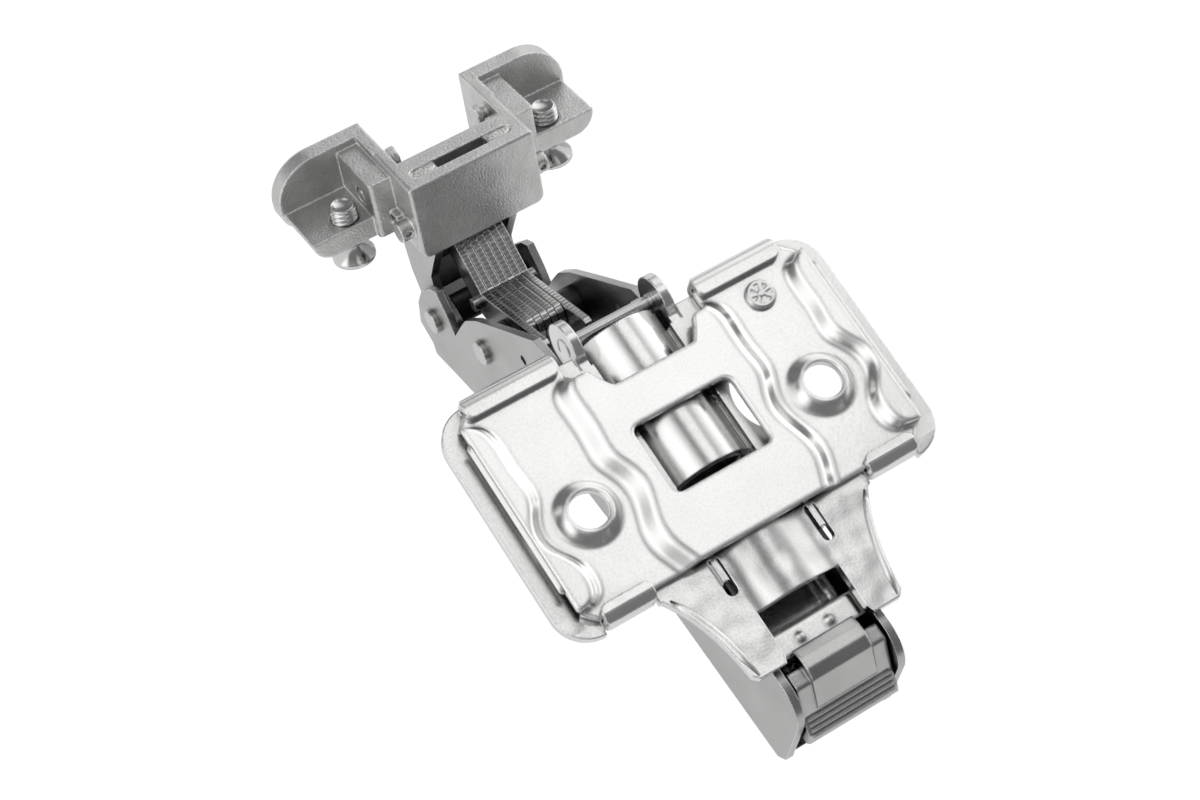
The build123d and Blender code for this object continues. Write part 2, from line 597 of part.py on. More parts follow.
# --- outer link: a bent channel that straddles the laminated link ---------------------------------
LINK_OUT = ARM_HALF - ARM_T - GAP
LINK_T = 1.2
OUTER_PROFILE = (
    (40.2, -37.0), (45.4, -36.7), (46.9, -34.5), (46.6, -28.0), (P3[0] - 2.0, P3[1] - 0.9),
    (P3[0] + 1.7, P3[1] - 1.9), (50.0, -27.6),
    (52.0, -29.6), (53.8, -32.4), (53.9, -35.8), (51.2, -39.7), (48.3, -42.2), (41.6, -42.2), (40.0, -40.4),
)
with BuildPart() as outer_link:
    with BuildSketch(side(0)):
        with BuildLine():
            Polyline(*OUTER_PROFILE, OUTER_PROFILE[0])
        make_face()
        fillet(vertices(), 0.8)
        with Locations(P3):
            Circle(2.2)
    extrude(amount=LINK_OUT, both=True)
    with BuildSketch(side(0)):
        with BuildLine():
            Polyline((38, -30), (38, -50), (47.6, -50), (47.6, -41.2), (50.3, -38.9), (52.7, -35.4), (52.7, -33.6),
                     (60, -33.6), (60, -10), (38, -10), (38, -30))
        make_face()
    extrude(amount=LINK_OUT - LINK_T, both=True, mode=Mode.SUBTRACT)
    with BuildSketch(side(0)):
        with Locations(P1):
            Circle(PIVOT_R + RUN)
        with Locations(P3):
            Circle(P3_R + RUN)
    extrude(amount=LINK_OUT + 1, both=True, mode=Mode.SUBTRACT)

# --- laminated link -----------------------------------------------------------------------
STACK_HALF = PLATE_COUNT * (PLATE_T + PLATE_AIR) / 2
P4_END_R = P4_R + OPEN_PIVOT_AIR + 0.64
PLATE_BODY = (
    (P4[0] - 1.9, P4[1] - 1.2), (50.4, -26.3), (45.9, -27.0), (44.4, -27.3), (39.5, -29.0), (37.6, -27.8), (31.3, -22.9),
)
PLATE_FAR = (
    (29.4, -31.0), (31.4, -32.6), (35.0, -32.4), (39.6, -33.4), (45.2, -31.2), (51.8, -28.2),
    (P4[0] + 0.5, P4[1] - 2.2),
)
HOOK_NOSE = ((30.3, -23.1), (29.4, -24.0), (29.0, -25.3), (29.1, -26.9))
TIP_NOSE = ((26.8, -19.5), (26.1, -19.4), (25.6, -19.9), (25.6, -20.7), (28.6, -27.5))
RIVET_AT = (39.4, -31.0)
RIVET_R = 0.9


def link_plate(index):
    """One steel plate of the stack; the two outside plates carry the long tips."""
    outside = index in (0, PLATE_COUNT - 1)
    y = STACK_HALF - index * (PLATE_T + PLATE_AIR) - PLATE_AIR / 2
    with BuildPart() as plate:
        with BuildSketch(side(y)):
            with BuildLine():
                nose = TIP_NOSE if outside else HOOK_NOSE
                points = PLATE_BODY + nose + PLATE_FAR
                Polyline(*points, points[0])
            make_face()
            fillet(vertices(), 0.35)
            with Locations(P4):
                Circle(P4_END_R)
            with Locations(P2):
                Circle(PIVOT_R + RUN, mode=Mode.SUBTRACT)
            with Locations(P4):
                Circle(P4_R + OPEN_PIVOT_AIR, mode=Mode.SUBTRACT)
            with Locations(RIVET_AT):
                Circle(RIVET_R, mode=Mode.SUBTRACT)
        extrude(amount=PLATE_T)
    plate.part.label = f"link_plate_{index + 1}"
    return plate.part


link_plates = [link_plate(index) for index in range(PLATE_COUNT)]
stack_rivet = across("stack_rivet", RIVET_R, LINK_OUT - LINK_T - GAP, RIVET_AT)

SLEEVE_R = 2.5


def sleeve(name, y0, y1, at, outer, inner):
    """A spacer tube along Y."""
    with BuildPart() as tube:
        with BuildSketch(side(y1)):
            with Locations(at):
                Circle(outer)
                Circle(inner, mode=Mode.SUBTRACT)
        extrude(amount=y1 - y0)
    tube.part.label = name
    return tube.part


SLEEVE_IN = STACK_HALF + RUN
SLEEVE_OUT = ARM_HALF - ARM_T - RUN
sleeve_left = sleeve("sleeve_left", SLEEVE_IN, SLEEVE_OUT, P2, SLEEVE_R, PIVOT_R)
sleeve_right = sleeve("sleeve_right", -SLEEVE_OUT, -SLEEVE_IN, P2, SLEEVE_R, PIVOT_R)
link_sleeve = sleeve("link_sleeve", GAP - LINK_OUT + LINK_T, LINK_OUT - LINK_T - GAP, P1, 2.1, PIVOT_R)

# --- bracket: die-cast clamp for the door frame --------------------------------------------------
BRIDGE_V = 5.4
BRIDGE_U = 11.35
WALL_V = 16.2
BACK_V = 13.9
BLOCK_V = 5.2
BLOCK_TOP = 1.0
FLANGE_TOP = 6.45
FLANGE_FAR = 9.4
WING_Y = 21.0
FLANGE_Y = 20.6
FLANGE_V = 6.1
WING_FOOT_R = 2.9
EDGE_R = 0.35
WALL_BEND_V = 9.5
BLOCK_END = WALL_OUT + 3.0
BOSS_END = WALL_OUT + 1.8
SCREW_V = 8.5
SCREW_Y = 14.8
SCREW_R = 1.78
SCREW_TOP = 4.35
FOOT_R = 2.8
with BuildPart() as bracket:
    with BuildSketch(front(0)):
        with BuildLine():
            Polyline((WALL_OUT, 0), (WALL_OUT, -BRIDGE_U), (-WALL_OUT, -BRIDGE_U), (-WALL_OUT, 0), (WALL_OUT, 0))
        make_face()
        fillet(vertices().group_by(Axis.Y)[0], 1.2)
        fillet(vertices().group_by(Axis.Y)[-1], EDGE_R + 0.15)
    extrude(amount=WALL_BEND_V)
    fillet(bracket.faces().sort_by(Axis(BRACKET_O, V_DIR))[0].edges(), EDGE_R)
    # side walls
    for s in (-1, 1):
        with BuildSketch(bracket_side(s * (WALL_IN + 0.75) + 0.75)):
            with BuildLine():
                Polyline((WALL_BEND_V, 0), (WALL_V, 0), (WALL_V, -FLANGE_FAR), (WALL_BEND_V, -BRIDGE_U),
                         (WALL_BEND_V, 0))
            make_face()
        extrude(amount=1.5)
    # hollow under the bridge for the links
    with BuildSketch(bracket_side(0)):
        with BuildLine():
            Polyline((1.1, -3.4), (1.1, -20), (40, -20), (40, 5), (BRIDGE_V, 5), (BRIDGE_V, -3.4), (1.1, -3.4))
        make_face()
    extrude(amount=WALL_IN, both=True, mode=Mode.SUBTRACT)
    # wings: back wall and clamp flange
    for s in (-1, 1):
        with BuildSketch(front(BACK_V)):
            with BuildLine():
                Polyline((s * WALL_IN, 0), (s * WING_Y, 0), (s * WING_Y, -FLANGE_FAR), (s * WALL_IN, -FLANGE_FAR),
                         (s * WALL_IN, 0))
            make_face()
            fillet(vertices().sort_by_distance((s * WING_Y, 0, 0))[0], 5.8)
            fillet(vertices().sort_by_distance((s * WING_Y, -FLANGE_FAR, 0))[0], WING_FOOT_R)
        extrude(amount=WALL_V - BACK_V)
        with BuildSketch(front(FLANGE_V)):
            with BuildLine():
                Polyline((s * WALL_IN, -FLANGE_TOP), (s * FLANGE_Y, -FLANGE_TOP), (s * FLANGE_Y, -FLANGE_FAR),
                         (s * WALL_IN, -FLANGE_FAR), (s * WALL_IN, -FLANGE_TOP))
            make_face()
            fillet(vertices().sort_by_distance((s * FLANGE_Y, -FLANGE_FAR, 0))[0], WING_FOOT_R - 0.1)
        extrude(amount=WALL_V - FLANGE_V)
        # block beside the wall, with a round recess in its side
        with BuildSketch(deck(BLOCK_TOP)):
            with BuildLine():
                Polyline((BLOCK_V, s * (WALL_OUT - 0.2)), (BLOCK_V, s * BLOCK_END), (BACK_V, s * BLOCK_END),
                         (BACK_V, s * (WALL_OUT - 0.2)), (BLOCK_V, s * (WALL_OUT - 0.2)))
            make_face()
            fillet(vertices().sort_by_distance((BLOCK_V, s * BLOCK_END, 0))[0], 0.5)
        extrude(amount=-(FLANGE_FAR - BLOCK_TOP))
        with BuildSketch(bracket_side(s * BLOCK_END)):
            with Locations((8.7, -4.6)):
                Circle(1.25)
                Circle(0.85, mode=Mode.SUBTRACT)
        extrude(amount=s * 0.5, mode=Mode.SUBTRACT)
        # small boss, low on the wall
        with BuildSketch(bracket_side(s * BOSS_END)):
            with Locations((2.2, -7.2)):
                Circle(1.35)
        extrude(amount=s * (BOSS_END - WALL_OUT + 0.3))
        # square frame cast beside it
        with BuildSketch(bracket_side(s * (WALL_OUT + 1.0))):
            with Locations((4.6, -7.0)):
                Rectangle(2.2, 2.2)
                Rectangle(1.2, 1.2, mode=Mode.SUBTRACT)
        extrude(amount=s * 1.3)
        # headed stub inside the wall
        with BuildSketch(bracket_side(s * (WALL_IN - 0.6) + 0.6)):
            with Locations((9.9, -2.3)):
                Circle(0.8)
        extrude(amount=1.2)
        with BuildSketch(bracket_side(s * (WALL_IN - 1.3) + 0.4)):
            with Locations((9.9, -2.3)):
                Circle(1.4)
        extrude(amount=0.8)
    # step behind the bridge
    with BuildSketch(deck(0.25)):
        with Locations((BRIDGE_V + 0.2, 0)):
            Rectangle(0.9, 2 * WALL_IN)
    extrude(amount=-2.0)
    # slot in the top of the bridge
    with BuildSketch(deck(0)):
        with Locations((2.6, 0)):
            SlotOverall(14.4, 1.7, rotation=90)
    extrude(amount=-0.35, mode=Mode.SUBTRACT)
    with BuildSketch(deck(0)):
        with Locations((2.6, 0)):
            Rectangle(1.7, 7.3)
    extrude(amount=-5, mode=Mode.SUBTRACT)
    # holes
    with BuildSketch(deck(0)):
        with Locations(*[(SCREW_V, s * SCREW_Y) for s in (-1, 1)]):
            Circle(SCREW_R + RUN)
    extrude(amount=-20, mode=Mode.SUBTRACT)
    with BuildSketch(front(0.6)):
        with Locations(*[(s * (WALL_OUT + 0.9), -7.1) for s in (-1, 1)]):
            Circle(0.45)
    extrude(amount=1.0, mode=Mode.SUBTRACT)
    with BuildSketch(bracket_side(0)):
        with Locations((P3_V, -P3_U)):
            Circle(P3_R)
        with Locations((P4_V, -P4_U)):
            Circle(P4_R)
    extrude(amount=WALL_OUT - 0.5, both=True, mode=Mode.SUBTRACT)

pivot_outer_bracket = across("pivot_outer_bracket", P3_R, WALL_OUT - 0.5, P3)
pivot_link_bracket = across("pivot_link_bracket", P4_R, WALL_OUT - 0.5, P4)


def clamp_screw(name, s):
    """A stud with a dished end and a broad cone foot, turned from the wing's open side."""
    with BuildPart() as screw:
        with BuildSketch(bracket_side(s * SCREW_Y)):
            with BuildLine():
                Polyline(
                    (SCREW_V, -SCREW_TOP - 0.4), (SCREW_V + 0.4, -SCREW_TOP - 0.4),
                    (SCREW_V + 1.2, -SCREW_TOP - 0.05), (SCREW_V + 1.45, -SCREW_TOP),
                    (SCREW_V + SCREW_R, -SCREW_TOP - 0.4), (SCREW_V + SCREW_R, -10.3), (SCREW_V + 1.3, -10.7),
                    (SCREW_V + FOOT_R, -12.3), (SCREW_V + FOOT_R, -12.9), (SCREW_V, -12.9),
                    (SCREW_V, -SCREW_TOP - 0.4),
                )
            make_face()
        axis = Axis(BRACKET_O + V_DIR * SCREW_V + Vector(0, s * SCREW_Y, 0), U_DIR)
        revolve(axis=axis)
    screw.part.label = name
    return screw.part


clamp_screw_left = clamp_screw("clamp_screw_left", 1)
clamp_screw_right = clamp_screw("clamp_screw_right", -1)

# --- write ----------------------------------------------------------------------------------
for name, builder in (
    ("base_plate", base_plate), ("height_cam", height_cam), ("saddle_plate", saddle_plate),
    ("carriage", carriage), ("lever_spring", lever_spring), ("clip_lever", clip_lever),
    ("slide_plate", slide_plate), ("depth_screw", depth_screw), ("side_screw", side_screw),
    ("hinge_arm", hinge_arm), ("outer_link", outer_link), ("bracket", bracket),
):
    builder.part.label = name
    export_step(builder.part, f"parts/{name}.step")

for part in (
    hook_rod, lever_pin, tilt_pin, pivot_arm_outer, pivot_arm_inner, pivot_outer_bracket,
    pivot_link_bracket, stack_rivet, sleeve_left, sleeve_right, link_sleeve, clamp_screw_left,
    clamp_screw_right, *link_plates,
):
    export_step(part, f"parts/{part.label}.step")
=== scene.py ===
"""Looks of the clip-on cabinet hinge: finishes, small turned and stamped detail, light and camera.

Everything is in the row frame: the plate's mounting face is z = 0, the two fixing holes lie
along y, x runs out of the cabinet and z into the cabinet side.  Blender's lengths are metres.
The sizes named here are millimetres, unless a comment says otherwise.
"""

import json
import math

import bpy
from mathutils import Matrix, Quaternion, Vector

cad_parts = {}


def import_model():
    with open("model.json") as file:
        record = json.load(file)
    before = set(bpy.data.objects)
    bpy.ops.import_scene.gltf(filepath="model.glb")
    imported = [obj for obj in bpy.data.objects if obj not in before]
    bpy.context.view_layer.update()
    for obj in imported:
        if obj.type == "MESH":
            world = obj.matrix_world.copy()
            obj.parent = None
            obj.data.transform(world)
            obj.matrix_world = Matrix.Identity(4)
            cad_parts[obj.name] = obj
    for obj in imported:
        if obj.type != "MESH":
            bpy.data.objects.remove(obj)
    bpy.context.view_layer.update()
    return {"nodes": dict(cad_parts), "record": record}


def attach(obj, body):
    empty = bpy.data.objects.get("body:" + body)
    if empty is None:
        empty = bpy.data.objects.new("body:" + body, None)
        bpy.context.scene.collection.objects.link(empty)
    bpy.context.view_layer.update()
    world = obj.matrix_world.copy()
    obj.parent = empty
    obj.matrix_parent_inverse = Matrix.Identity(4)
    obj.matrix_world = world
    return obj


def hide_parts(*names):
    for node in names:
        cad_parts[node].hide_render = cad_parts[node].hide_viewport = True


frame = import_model()
nodes = frame["nodes"]

MM = 0.001  # metres
SIDES = (("left", 1), ("right", -1))


# --- helpers -----------------------------------------------------------------------------


def linear(hex_colour):
    """Linear RGBA of an sRGB hex colour such as 'c8c8c4'."""
    channels = [int(hex_colour[i : i + 2], 16) / 255 for i in (0, 2, 4)]
    return tuple(
        c / 12.92 if c <= 0.04045 else ((c + 0.055) / 1.055) ** 2.4 for c in channels
    ) + (1.0,)


def add(tree, kind, inputs=None, **settings):
    """Adds a node with its settings.  An input given as a socket is linked, any other is set."""
    made = tree.nodes.new(kind)
    for name, value in settings.items():
        setattr(made, name, value)
    for name, value in (inputs or {}).items():
        if isinstance(value, bpy.types.NodeSocket):
            tree.links.new(value, made.inputs[name])
        else:
            made.inputs[name].default_value = value
    return made


def new_material(name):
    """An empty node material and its tree."""
    made = bpy.data.materials.new(name)
    made.use_nodes = True
    made.node_tree.nodes.clear()
    return made, made.node_tree


# --- finishes ----------------------------------------------------------------------------

# Sheared edges of the laminated link.  The real scores are finer and are drawn coarser to show.
PLATE_PITCH = 1.02
SCORE_PITCH = 0.6
SCORE_SHIFT = 2.3  # radians that the scores move on from one plate to the next
SCORE_TONE = 0.7
SEAM_STARTS, SEAM_ENDS = 0.38, 0.46  # from the middle of a plate, in plates
SEAM_TONE = 0.15

# Plated corners, chipped and burnished, their paler colour partly a painted highlight
CHIP_SIZE = 0.5
CHIP_DEPTH = 0.22
BURNISHED_GLINT, BURNISHED_ROUGHNESS = "f8f8f7", 0.12

# Painted shade: the colour darkens in recesses, by how much other surface is near
PAINTED_SHADE_REACH = 6.0  # how far a recess looks for its neighbours
FLAT_SWELL, SWELL_FADE = 0.06, 2.0  # what is left of the waves where the sheet lies flat
ACETAL_GRAIN, ACETAL_DEPTH = 0.4, 0.01


def sheared_edges(tree, coords, normal, surface, tone, depth):
    """Scores the cut edges of the stacked plates across and draws the seams between the plates.
    Returns the new surface and tone."""
    across = add(tree, "ShaderNodeSeparateXYZ", {"Vector": coords}).outputs["Y"]
    plate = add(tree, "ShaderNodeMath", {0: across, 1: 1 / (PLATE_PITCH * MM)},
                operation="MULTIPLY").outputs["Value"]
    number = add(tree, "ShaderNodeMath", {0: plate}, operation="ROUND").outputs["Value"]
    shift = add(tree, "ShaderNodeMath", {0: number, 1: SCORE_SHIFT},
                operation="MULTIPLY").outputs["Value"]
    # a wave texture draws 20 / (2 pi) bands in each unit of its scale
    scores = add(tree, "ShaderNodeTexWave",
                 {"Vector": coords, "Phase Offset": shift,
                  "Scale": 2 * math.pi / (20 * SCORE_PITCH * MM), "Distortion": 1.6,
                  "Detail": 3.0, "Detail Scale": 2.0, "Detail Roughness": 0.6},
                 wave_type="BANDS", bands_direction="X").outputs["Fac"]
    # the plates' flat faces look along y, and only the cut edges between them are scored
    facing = add(tree, "ShaderNodeSeparateXYZ", {"Vector": normal}).outputs["Y"]
    sideways = add(tree, "ShaderNodeMath", {0: facing}, operation="ABSOLUTE").outputs["Value"]
    cut = add(tree, "ShaderNodeMath", {0: sideways, 1: 0.5},
              operation="LESS_THAN").outputs["Value"]
    height = add(tree, "ShaderNodeMath", {0: scores, 1: cut},
                 operation="MULTIPLY").outputs["Value"]
    scored = add(tree, "ShaderNodeBump",
                 {"Height": height, "Normal": surface, "Strength": 1.0,
                  "Distance": depth * MM}).outputs["Normal"]
    between = add(tree, "ShaderNodeMath", {0: plate, 1: 0.5},
                  operation="PINGPONG").outputs["Value"]
    seam = add(tree, "ShaderNodeMapRange",
               {"Value": between, "From Min": SEAM_STARTS, "From Max": SEAM_ENDS,
                "To Min": 1.0, "To Max": SEAM_TONE}).outputs["Result"]
    dull = add(tree, "ShaderNodeMapRange",
               {"Value": scores, "From Min": 0.05, "From Max": 0.45,
                "To Min": SCORE_TONE}).outputs["Result"]
    drawn = add(tree, "ShaderNodeMath", {0: seam, 1: dull},
                operation="MULTIPLY").outputs["Value"]
    drawn = add(tree, "ShaderNodeMix", {"Factor": cut, "A": 1.0, "B": drawn},
                data_type="FLOAT").outputs["Result"]
    darker = add(tree, "ShaderNodeMath", {0: tone, 1: drawn},
                 operation="MULTIPLY").outputs["Value"]
    return scored, darker


def plated_metal(name, colour, *, roughness, speck_depth, edge, painted_shade, wear_and_glint, speck=0.3,
                 wave=0.0, wave_size=5.0, mottle=0.05, fleck=0.0, marks=0.0, wavy_behind=None):
    """Nickel-plated metal.

    speck and speck_depth give the fine grain, wave_size and wave the slow unevenness left by
    pressing or casting, and edge the rounding of every corner.  The real grain is finer, and is
    drawn as coarse as it needs to show.  mottle, painted_shade, wear_and_glint and fleck run from
    0 to 1: how far the tone drifts, how dark the painted shade in the recesses is, how far the
    corners are burnished and lightened with a painted highlight, and how dull the small spots are.
    marks is the depth of the scores across the link plates' cut edges.  In front of the row x
    wavy_behind the sheet lies nearly flat.
    """
    material, tree = new_material(name)
    coords = add(tree, "ShaderNodeTexCoord").outputs["Object"]
    normal = add(tree, "ShaderNodeNewGeometry").outputs["Normal"]
    rounded = add(tree, "ShaderNodeBevel", {"Radius": edge * MM}, samples=6).outputs["Normal"]
    grain = add(tree, "ShaderNodeTexNoise",
                {"Vector": coords, "Scale": 1 / (speck * MM), "Detail": 4.0,
                 "Roughness": 0.6}).outputs["Fac"]
    slow = add(tree, "ShaderNodeTexNoise",
               {"Vector": coords, "Scale": 1 / (wave_size * MM), "Detail": 2.0,
                "Roughness": 0.5}).outputs["Fac"]

    # surface: slow swell, then grain
    swell = slow
    if wavy_behind is not None:
        row_x = add(tree, "ShaderNodeSeparateXYZ", {"Vector": coords}).outputs["X"]
        waviness = add(tree, "ShaderNodeMapRange",
                       {"Value": row_x, "From Min": (wavy_behind + SWELL_FADE) * MM,
                        "From Max": wavy_behind * MM, "To Min": FLAT_SWELL}).outputs["Result"]
        swell = add(tree, "ShaderNodeMath", {0: slow, 1: waviness},
                    operation="MULTIPLY").outputs["Value"]
    uneven = add(tree, "ShaderNodeBump",
                 {"Height": swell, "Normal": rounded, "Strength": 1.0,
                  "Distance": wave * MM}).outputs["Normal"]
    surface = add(tree, "ShaderNodeBump",
                  {"Height": grain, "Normal": uneven, "Strength": 1.0,
                   "Distance": speck_depth * MM}).outputs["Normal"]

    # tone: drift, painted shade in the recesses, dull spots
    drift = add(tree, "ShaderNodeMapRange",
                {"Value": slow, "From Min": 0.35, "From Max": 0.65,
                 "To Min": 1.0 - mottle}).outputs["Result"]
    # painted shade: ambient occlusion darkens the colour in recesses and between parts
    open_air = add(tree, "ShaderNodeAmbientOcclusion", {"Distance": PAINTED_SHADE_REACH * MM},
                   samples=6).outputs["AO"]
    shade = add(tree, "ShaderNodeMapRange",
                {"Value": open_air, "From Min": 0.15, "From Max": 0.85,
                 "To Min": 1.0 - painted_shade}).outputs["Result"]
    spots = add(tree, "ShaderNodeMapRange",
                {"Value": grain, "From Min": 0.3, "From Max": 0.38,
                 "To Min": 1.0 - fleck}).outputs["Result"]
    tone = add(tree, "ShaderNodeMath", {0: drift, 1: shade}, operation="MULTIPLY").outputs["Value"]
    tone = add(tree, "ShaderNodeMath", {0: tone, 1: spots}, operation="MULTIPLY").outputs["Value"]
    if marks:
        surface, tone = sheared_edges(tree, coords, normal, surface, tone, marks)
    tint = add(tree, "ShaderNodeMix", {"Factor": 1.0, "A": linear(colour), "B": tone},
               data_type="RGBA", blend_type="MULTIPLY").outputs["Result"]
    rough = add(tree, "ShaderNodeMapRange",
                {"Value": grain, "From Min": 0.3, "From Max": 0.7, "To Min": roughness * 0.85,
                 "To Max": roughness * 1.25}).outputs["Result"]

    # corners, where the rounded normal leaves the flat one: chipped and burnished, and paler as a
    # painted highlight
    turned = add(tree, "ShaderNodeVectorMath", {0: rounded, 1: normal},
                 operation="DOT_PRODUCT").outputs["Value"]
    corner = add(tree, "ShaderNodeMapRange",
                 {"Value": turned, "From Min": 0.99, "From Max": 0.92,
                  "To Max": wear_and_glint}).outputs["Result"]
    chips = add(tree, "ShaderNodeTexNoise",
                {"Vector": coords, "Scale": 1 / (CHIP_SIZE * MM), "Detail": 2.0,
                 "Roughness": 0.6}).outputs["Fac"]
    chipped = add(tree, "ShaderNodeMath", {0: corner, 1: chips},
                  operation="MULTIPLY").outputs["Value"]
    surface = add(tree, "ShaderNodeBump",
                  {"Height": chipped, "Normal": surface, "Strength": 1.0,
                   "Distance": CHIP_DEPTH * MM}).outputs["Normal"]
    # painted highlight: the corners take the pale burnished colour as well as their wear
    tint = add(tree, "ShaderNodeMix", {"Factor": corner, "A": tint, "B": linear(BURNISHED_GLINT)},
               data_type="RGBA").outputs["Result"]
    rough = add(tree, "ShaderNodeMix", {"Factor": corner, "A": rough, "B": BURNISHED_ROUGHNESS},
                data_type="FLOAT").outputs["Result"]

    shader = add(tree, "ShaderNodeBsdfPrincipled",
                 {"Base Color": tint, "Metallic": 1.0, "Roughness": rough, "Normal": surface})
    add(tree, "ShaderNodeOutputMaterial", {"Surface": shader.outputs["BSDF"]})
    return material


def black_acetal():
    """Moulded black acetal with a fine matt grain."""
    material, tree = new_material("black_acetal")
    coords = add(tree, "ShaderNodeTexCoord").outputs["Object"]
    grain = add(tree, "ShaderNodeTexNoise",
                {"Vector": coords, "Scale": 1 / (ACETAL_GRAIN * MM), "Detail": 2.0}).outputs["Fac"]
    bump = add(tree, "ShaderNodeBump",
               {"Height": grain, "Strength": 1.0, "Distance": ACETAL_DEPTH * MM}).outputs["Normal"]
    shader = add(tree, "ShaderNodeBsdfPrincipled",
                 {"Base Color": linear("141414"), "Roughness": 0.35, "Normal": bump})
    add(tree, "ShaderNodeOutputMaterial", {"Surface": shader.outputs["BSDF"]})
    return material


# Every finish below darkens its recesses with painted shade
FINISHES = {
    # bright nickel on pressed sheet: nearly a mirror, with soft dark lines along each bend from its
    # rounding, deepened by painted shade
    "plated_sheet": plated_metal(
        "bright_nickel_sheet", "f4f4f3", roughness=0.17, speck_depth=0.006, edge=0.75,
        painted_shade=0.45, wear_and_glint=0.2, wave=0.02, mottle=0.03, fleck=0.06),
    # satin nickel on thick rolled steel: an even mid grey, bright where its edges were sheared,
    # that brightness partly a painted highlight
    "arm_steel": plated_metal(
        "satin_nickel_steel", "c5c5c4", roughness=0.3, speck=0.25, speck_depth=0.006, edge=0.15,
        painted_shade=0.9, wear_and_glint=0.8, wave=0.01, wave_size=8.0, mottle=0.1, fleck=0.15),
    # nickel on blanked plates riveted side by side: a ladder of bright scores and dark seams
    "link_steel": plated_metal(
        "nickel_lamination", "ececeb", roughness=0.2, speck=0.2, speck_depth=0.004, edge=0.3,
        painted_shade=0.8, wear_and_glint=0.2, mottle=0.1, marks=0.016),
    # nickel on a zinc die casting: a grainy grey skin and burnished corners, lightened as a painted
    # highlight too
    "cast_metal": plated_metal(
        "plated_die_casting", "e2e2e1", roughness=0.3, speck_depth=0.08, edge=0.45, painted_shade=0.1,
        wear_and_glint=1.0, wave=0.05, wave_size=3.0, mottle=0.12, fleck=0.2),
    # bright nickel on turned steel: small sharp highlights along the thread and the cone
    "screw_steel": plated_metal(
        "bright_nickel_screw", "e6e6e5", roughness=0.16, speck_depth=0.003, edge=0.16,
        painted_shade=0.5, wear_and_glint=0.3),
    # drawn and tumbled steel: smooth and slightly dull
    "pin_steel": plated_metal(
        "drawn_steel_pin", "d8d8d7", roughness=0.24, speck_depth=0.003, edge=0.08, painted_shade=0.8,
        wear_and_glint=0.1),
    # moulded acetal: black with a dull broad gloss
    "sleeve_dark": black_acetal(),
}

# Pieces whose surface was made another way than the rest of their slot
OWN_FINISHES = {
    # bright nickel on deep-drawn sheet: as pale as the plate, with ripples in the drawn wings
    "saddle_plate": plated_metal(
        "drawn_nickel_sheet", "f2f2f1", roughness=0.19, speck_depth=0.008, edge=0.3,
        painted_shade=0.45, wear_and_glint=0.5, wave=0.42, wave_size=9.0, mottle=0.06, fleck=0.06,
        wavy_behind=-11.0),
    # sheet brushed before plating: a darker grey with a soft broken sheen
    "clip_lever": plated_metal(
        "brushed_lever_sheet", "c8c8c7", roughness=0.22, speck=0.25, speck_depth=0.01, edge=0.5,
        painted_shade=0.8, wear_and_glint=0.15, wave=0.08, wave_size=6.0, mottle=0.1, fleck=0.1),
    # rod ground before plating: a clean even highlight from end to end
    "hook_rod": plated_metal(
        "ground_steel_rod", "e6e6e5", roughness=0.26, speck_depth=0.003, edge=0.08, painted_shade=0.15,
        wear_and_glint=0.1, mottle=0.1),
    # bright nickel on a turned cam: a pale disc with soft edges to its stamped star
    "height_cam": plated_metal(
        "bright_nickel_cam", "e8e8e7", roughness=0.2, speck_depth=0.004, edge=0.25, painted_shade=0.1,
        wear_and_glint=0.2),
}
for part in frame["record"]["subparts"]:
    mesh = nodes[part["node"]].data
    mesh.materials.clear()
    mesh.materials.append(OWN_FINISHES.get(part["node"], FINISHES[part["material_slot"]]))


# --- small pieces ------------------------------------------------------------------------

AROUND = 40  # points in a turned ring
RING_ANGLES = [2 * math.pi * i / AROUND for i in range(AROUND)]

# The bracket's own directions: ALONG runs out along the door edge, INTO away from the cabinet.
DOOR_TILT = math.radians(-25)
ALONG = Vector((math.cos(DOOR_TILT), 0, math.sin(DOOR_TILT)))
INTO = Vector((math.sin(DOOR_TILT), 0, -math.cos(DOOR_TILT)))
BRACKET = Vector((49.63, 0, -13.36))

# Clamp screw: its middle in the bracket, and (depth, radius) down its two plain ends
SCREW_ALONG, SCREW_Y = 8.5, 14.8
DISHED_END = ((4.62, 0.05), (4.62, 0.8), (4.5, 1.15), (4.38, 1.34), (4.36, 1.44), (4.42, 1.52),
              (4.5, 1.55))
CONE_FOOT = ((10.3, 1.5), (10.5, 1.4), (10.7, 1.3), (12.3, 2.78), (12.4, 2.8), (12.85, 2.8),
             (12.9, 2.7), (12.9, 0.05))
THREAD_FIRST, THREAD_LAST = 4.55, 10.2
THREAD_PITCH = 0.66
THREAD_RUN_IN = 0.35  # over which the thread grows to its full height
CREST_R, ROOT_R = 1.8, 1.54
CREST_BLUNTNESS = 0.7
STEPS_PER_TURN = 8

# Oval pad at each end of the slot in the bracket's bridge
SLOT_ALONG = 2.6
PAD_Y, PAD_HALF_Y, PAD_HALF_ALONG = 5.35, 1.6, 0.78
PAD_MIDDLE = 0.03  # share of the pad that its innermost ring spans
PAD_TOP, PAD_FOOT = 0.1, 0.4
PAD_RINGS, PAD_RING_HEIGHT, PAD_STEPS = 3, 0.025, 24

# Rolled rims: the edge of the saddle's left wing as (x, y), and the plate's short end
BEAD_TIP = 0.3  # a bead's end, as a share of its radius
RIM_PATH = ((-13.0, 13.3), (-14.4, 12.6), (-16.2, 11.7), (-18.0, 11.05), (-20.0, 10.45),
            (-22.4, 9.95), (-25.2, 9.4))
RIM_Z, RIM_R = -2.43, 0.42
LIP_X = (13.3, 12.9, 12.3, 6.0, 0.0, -5.8, -6.5, -6.9)
LIP_Y, LIP_Z, LIP_R = 23.62, -0.44, 0.38

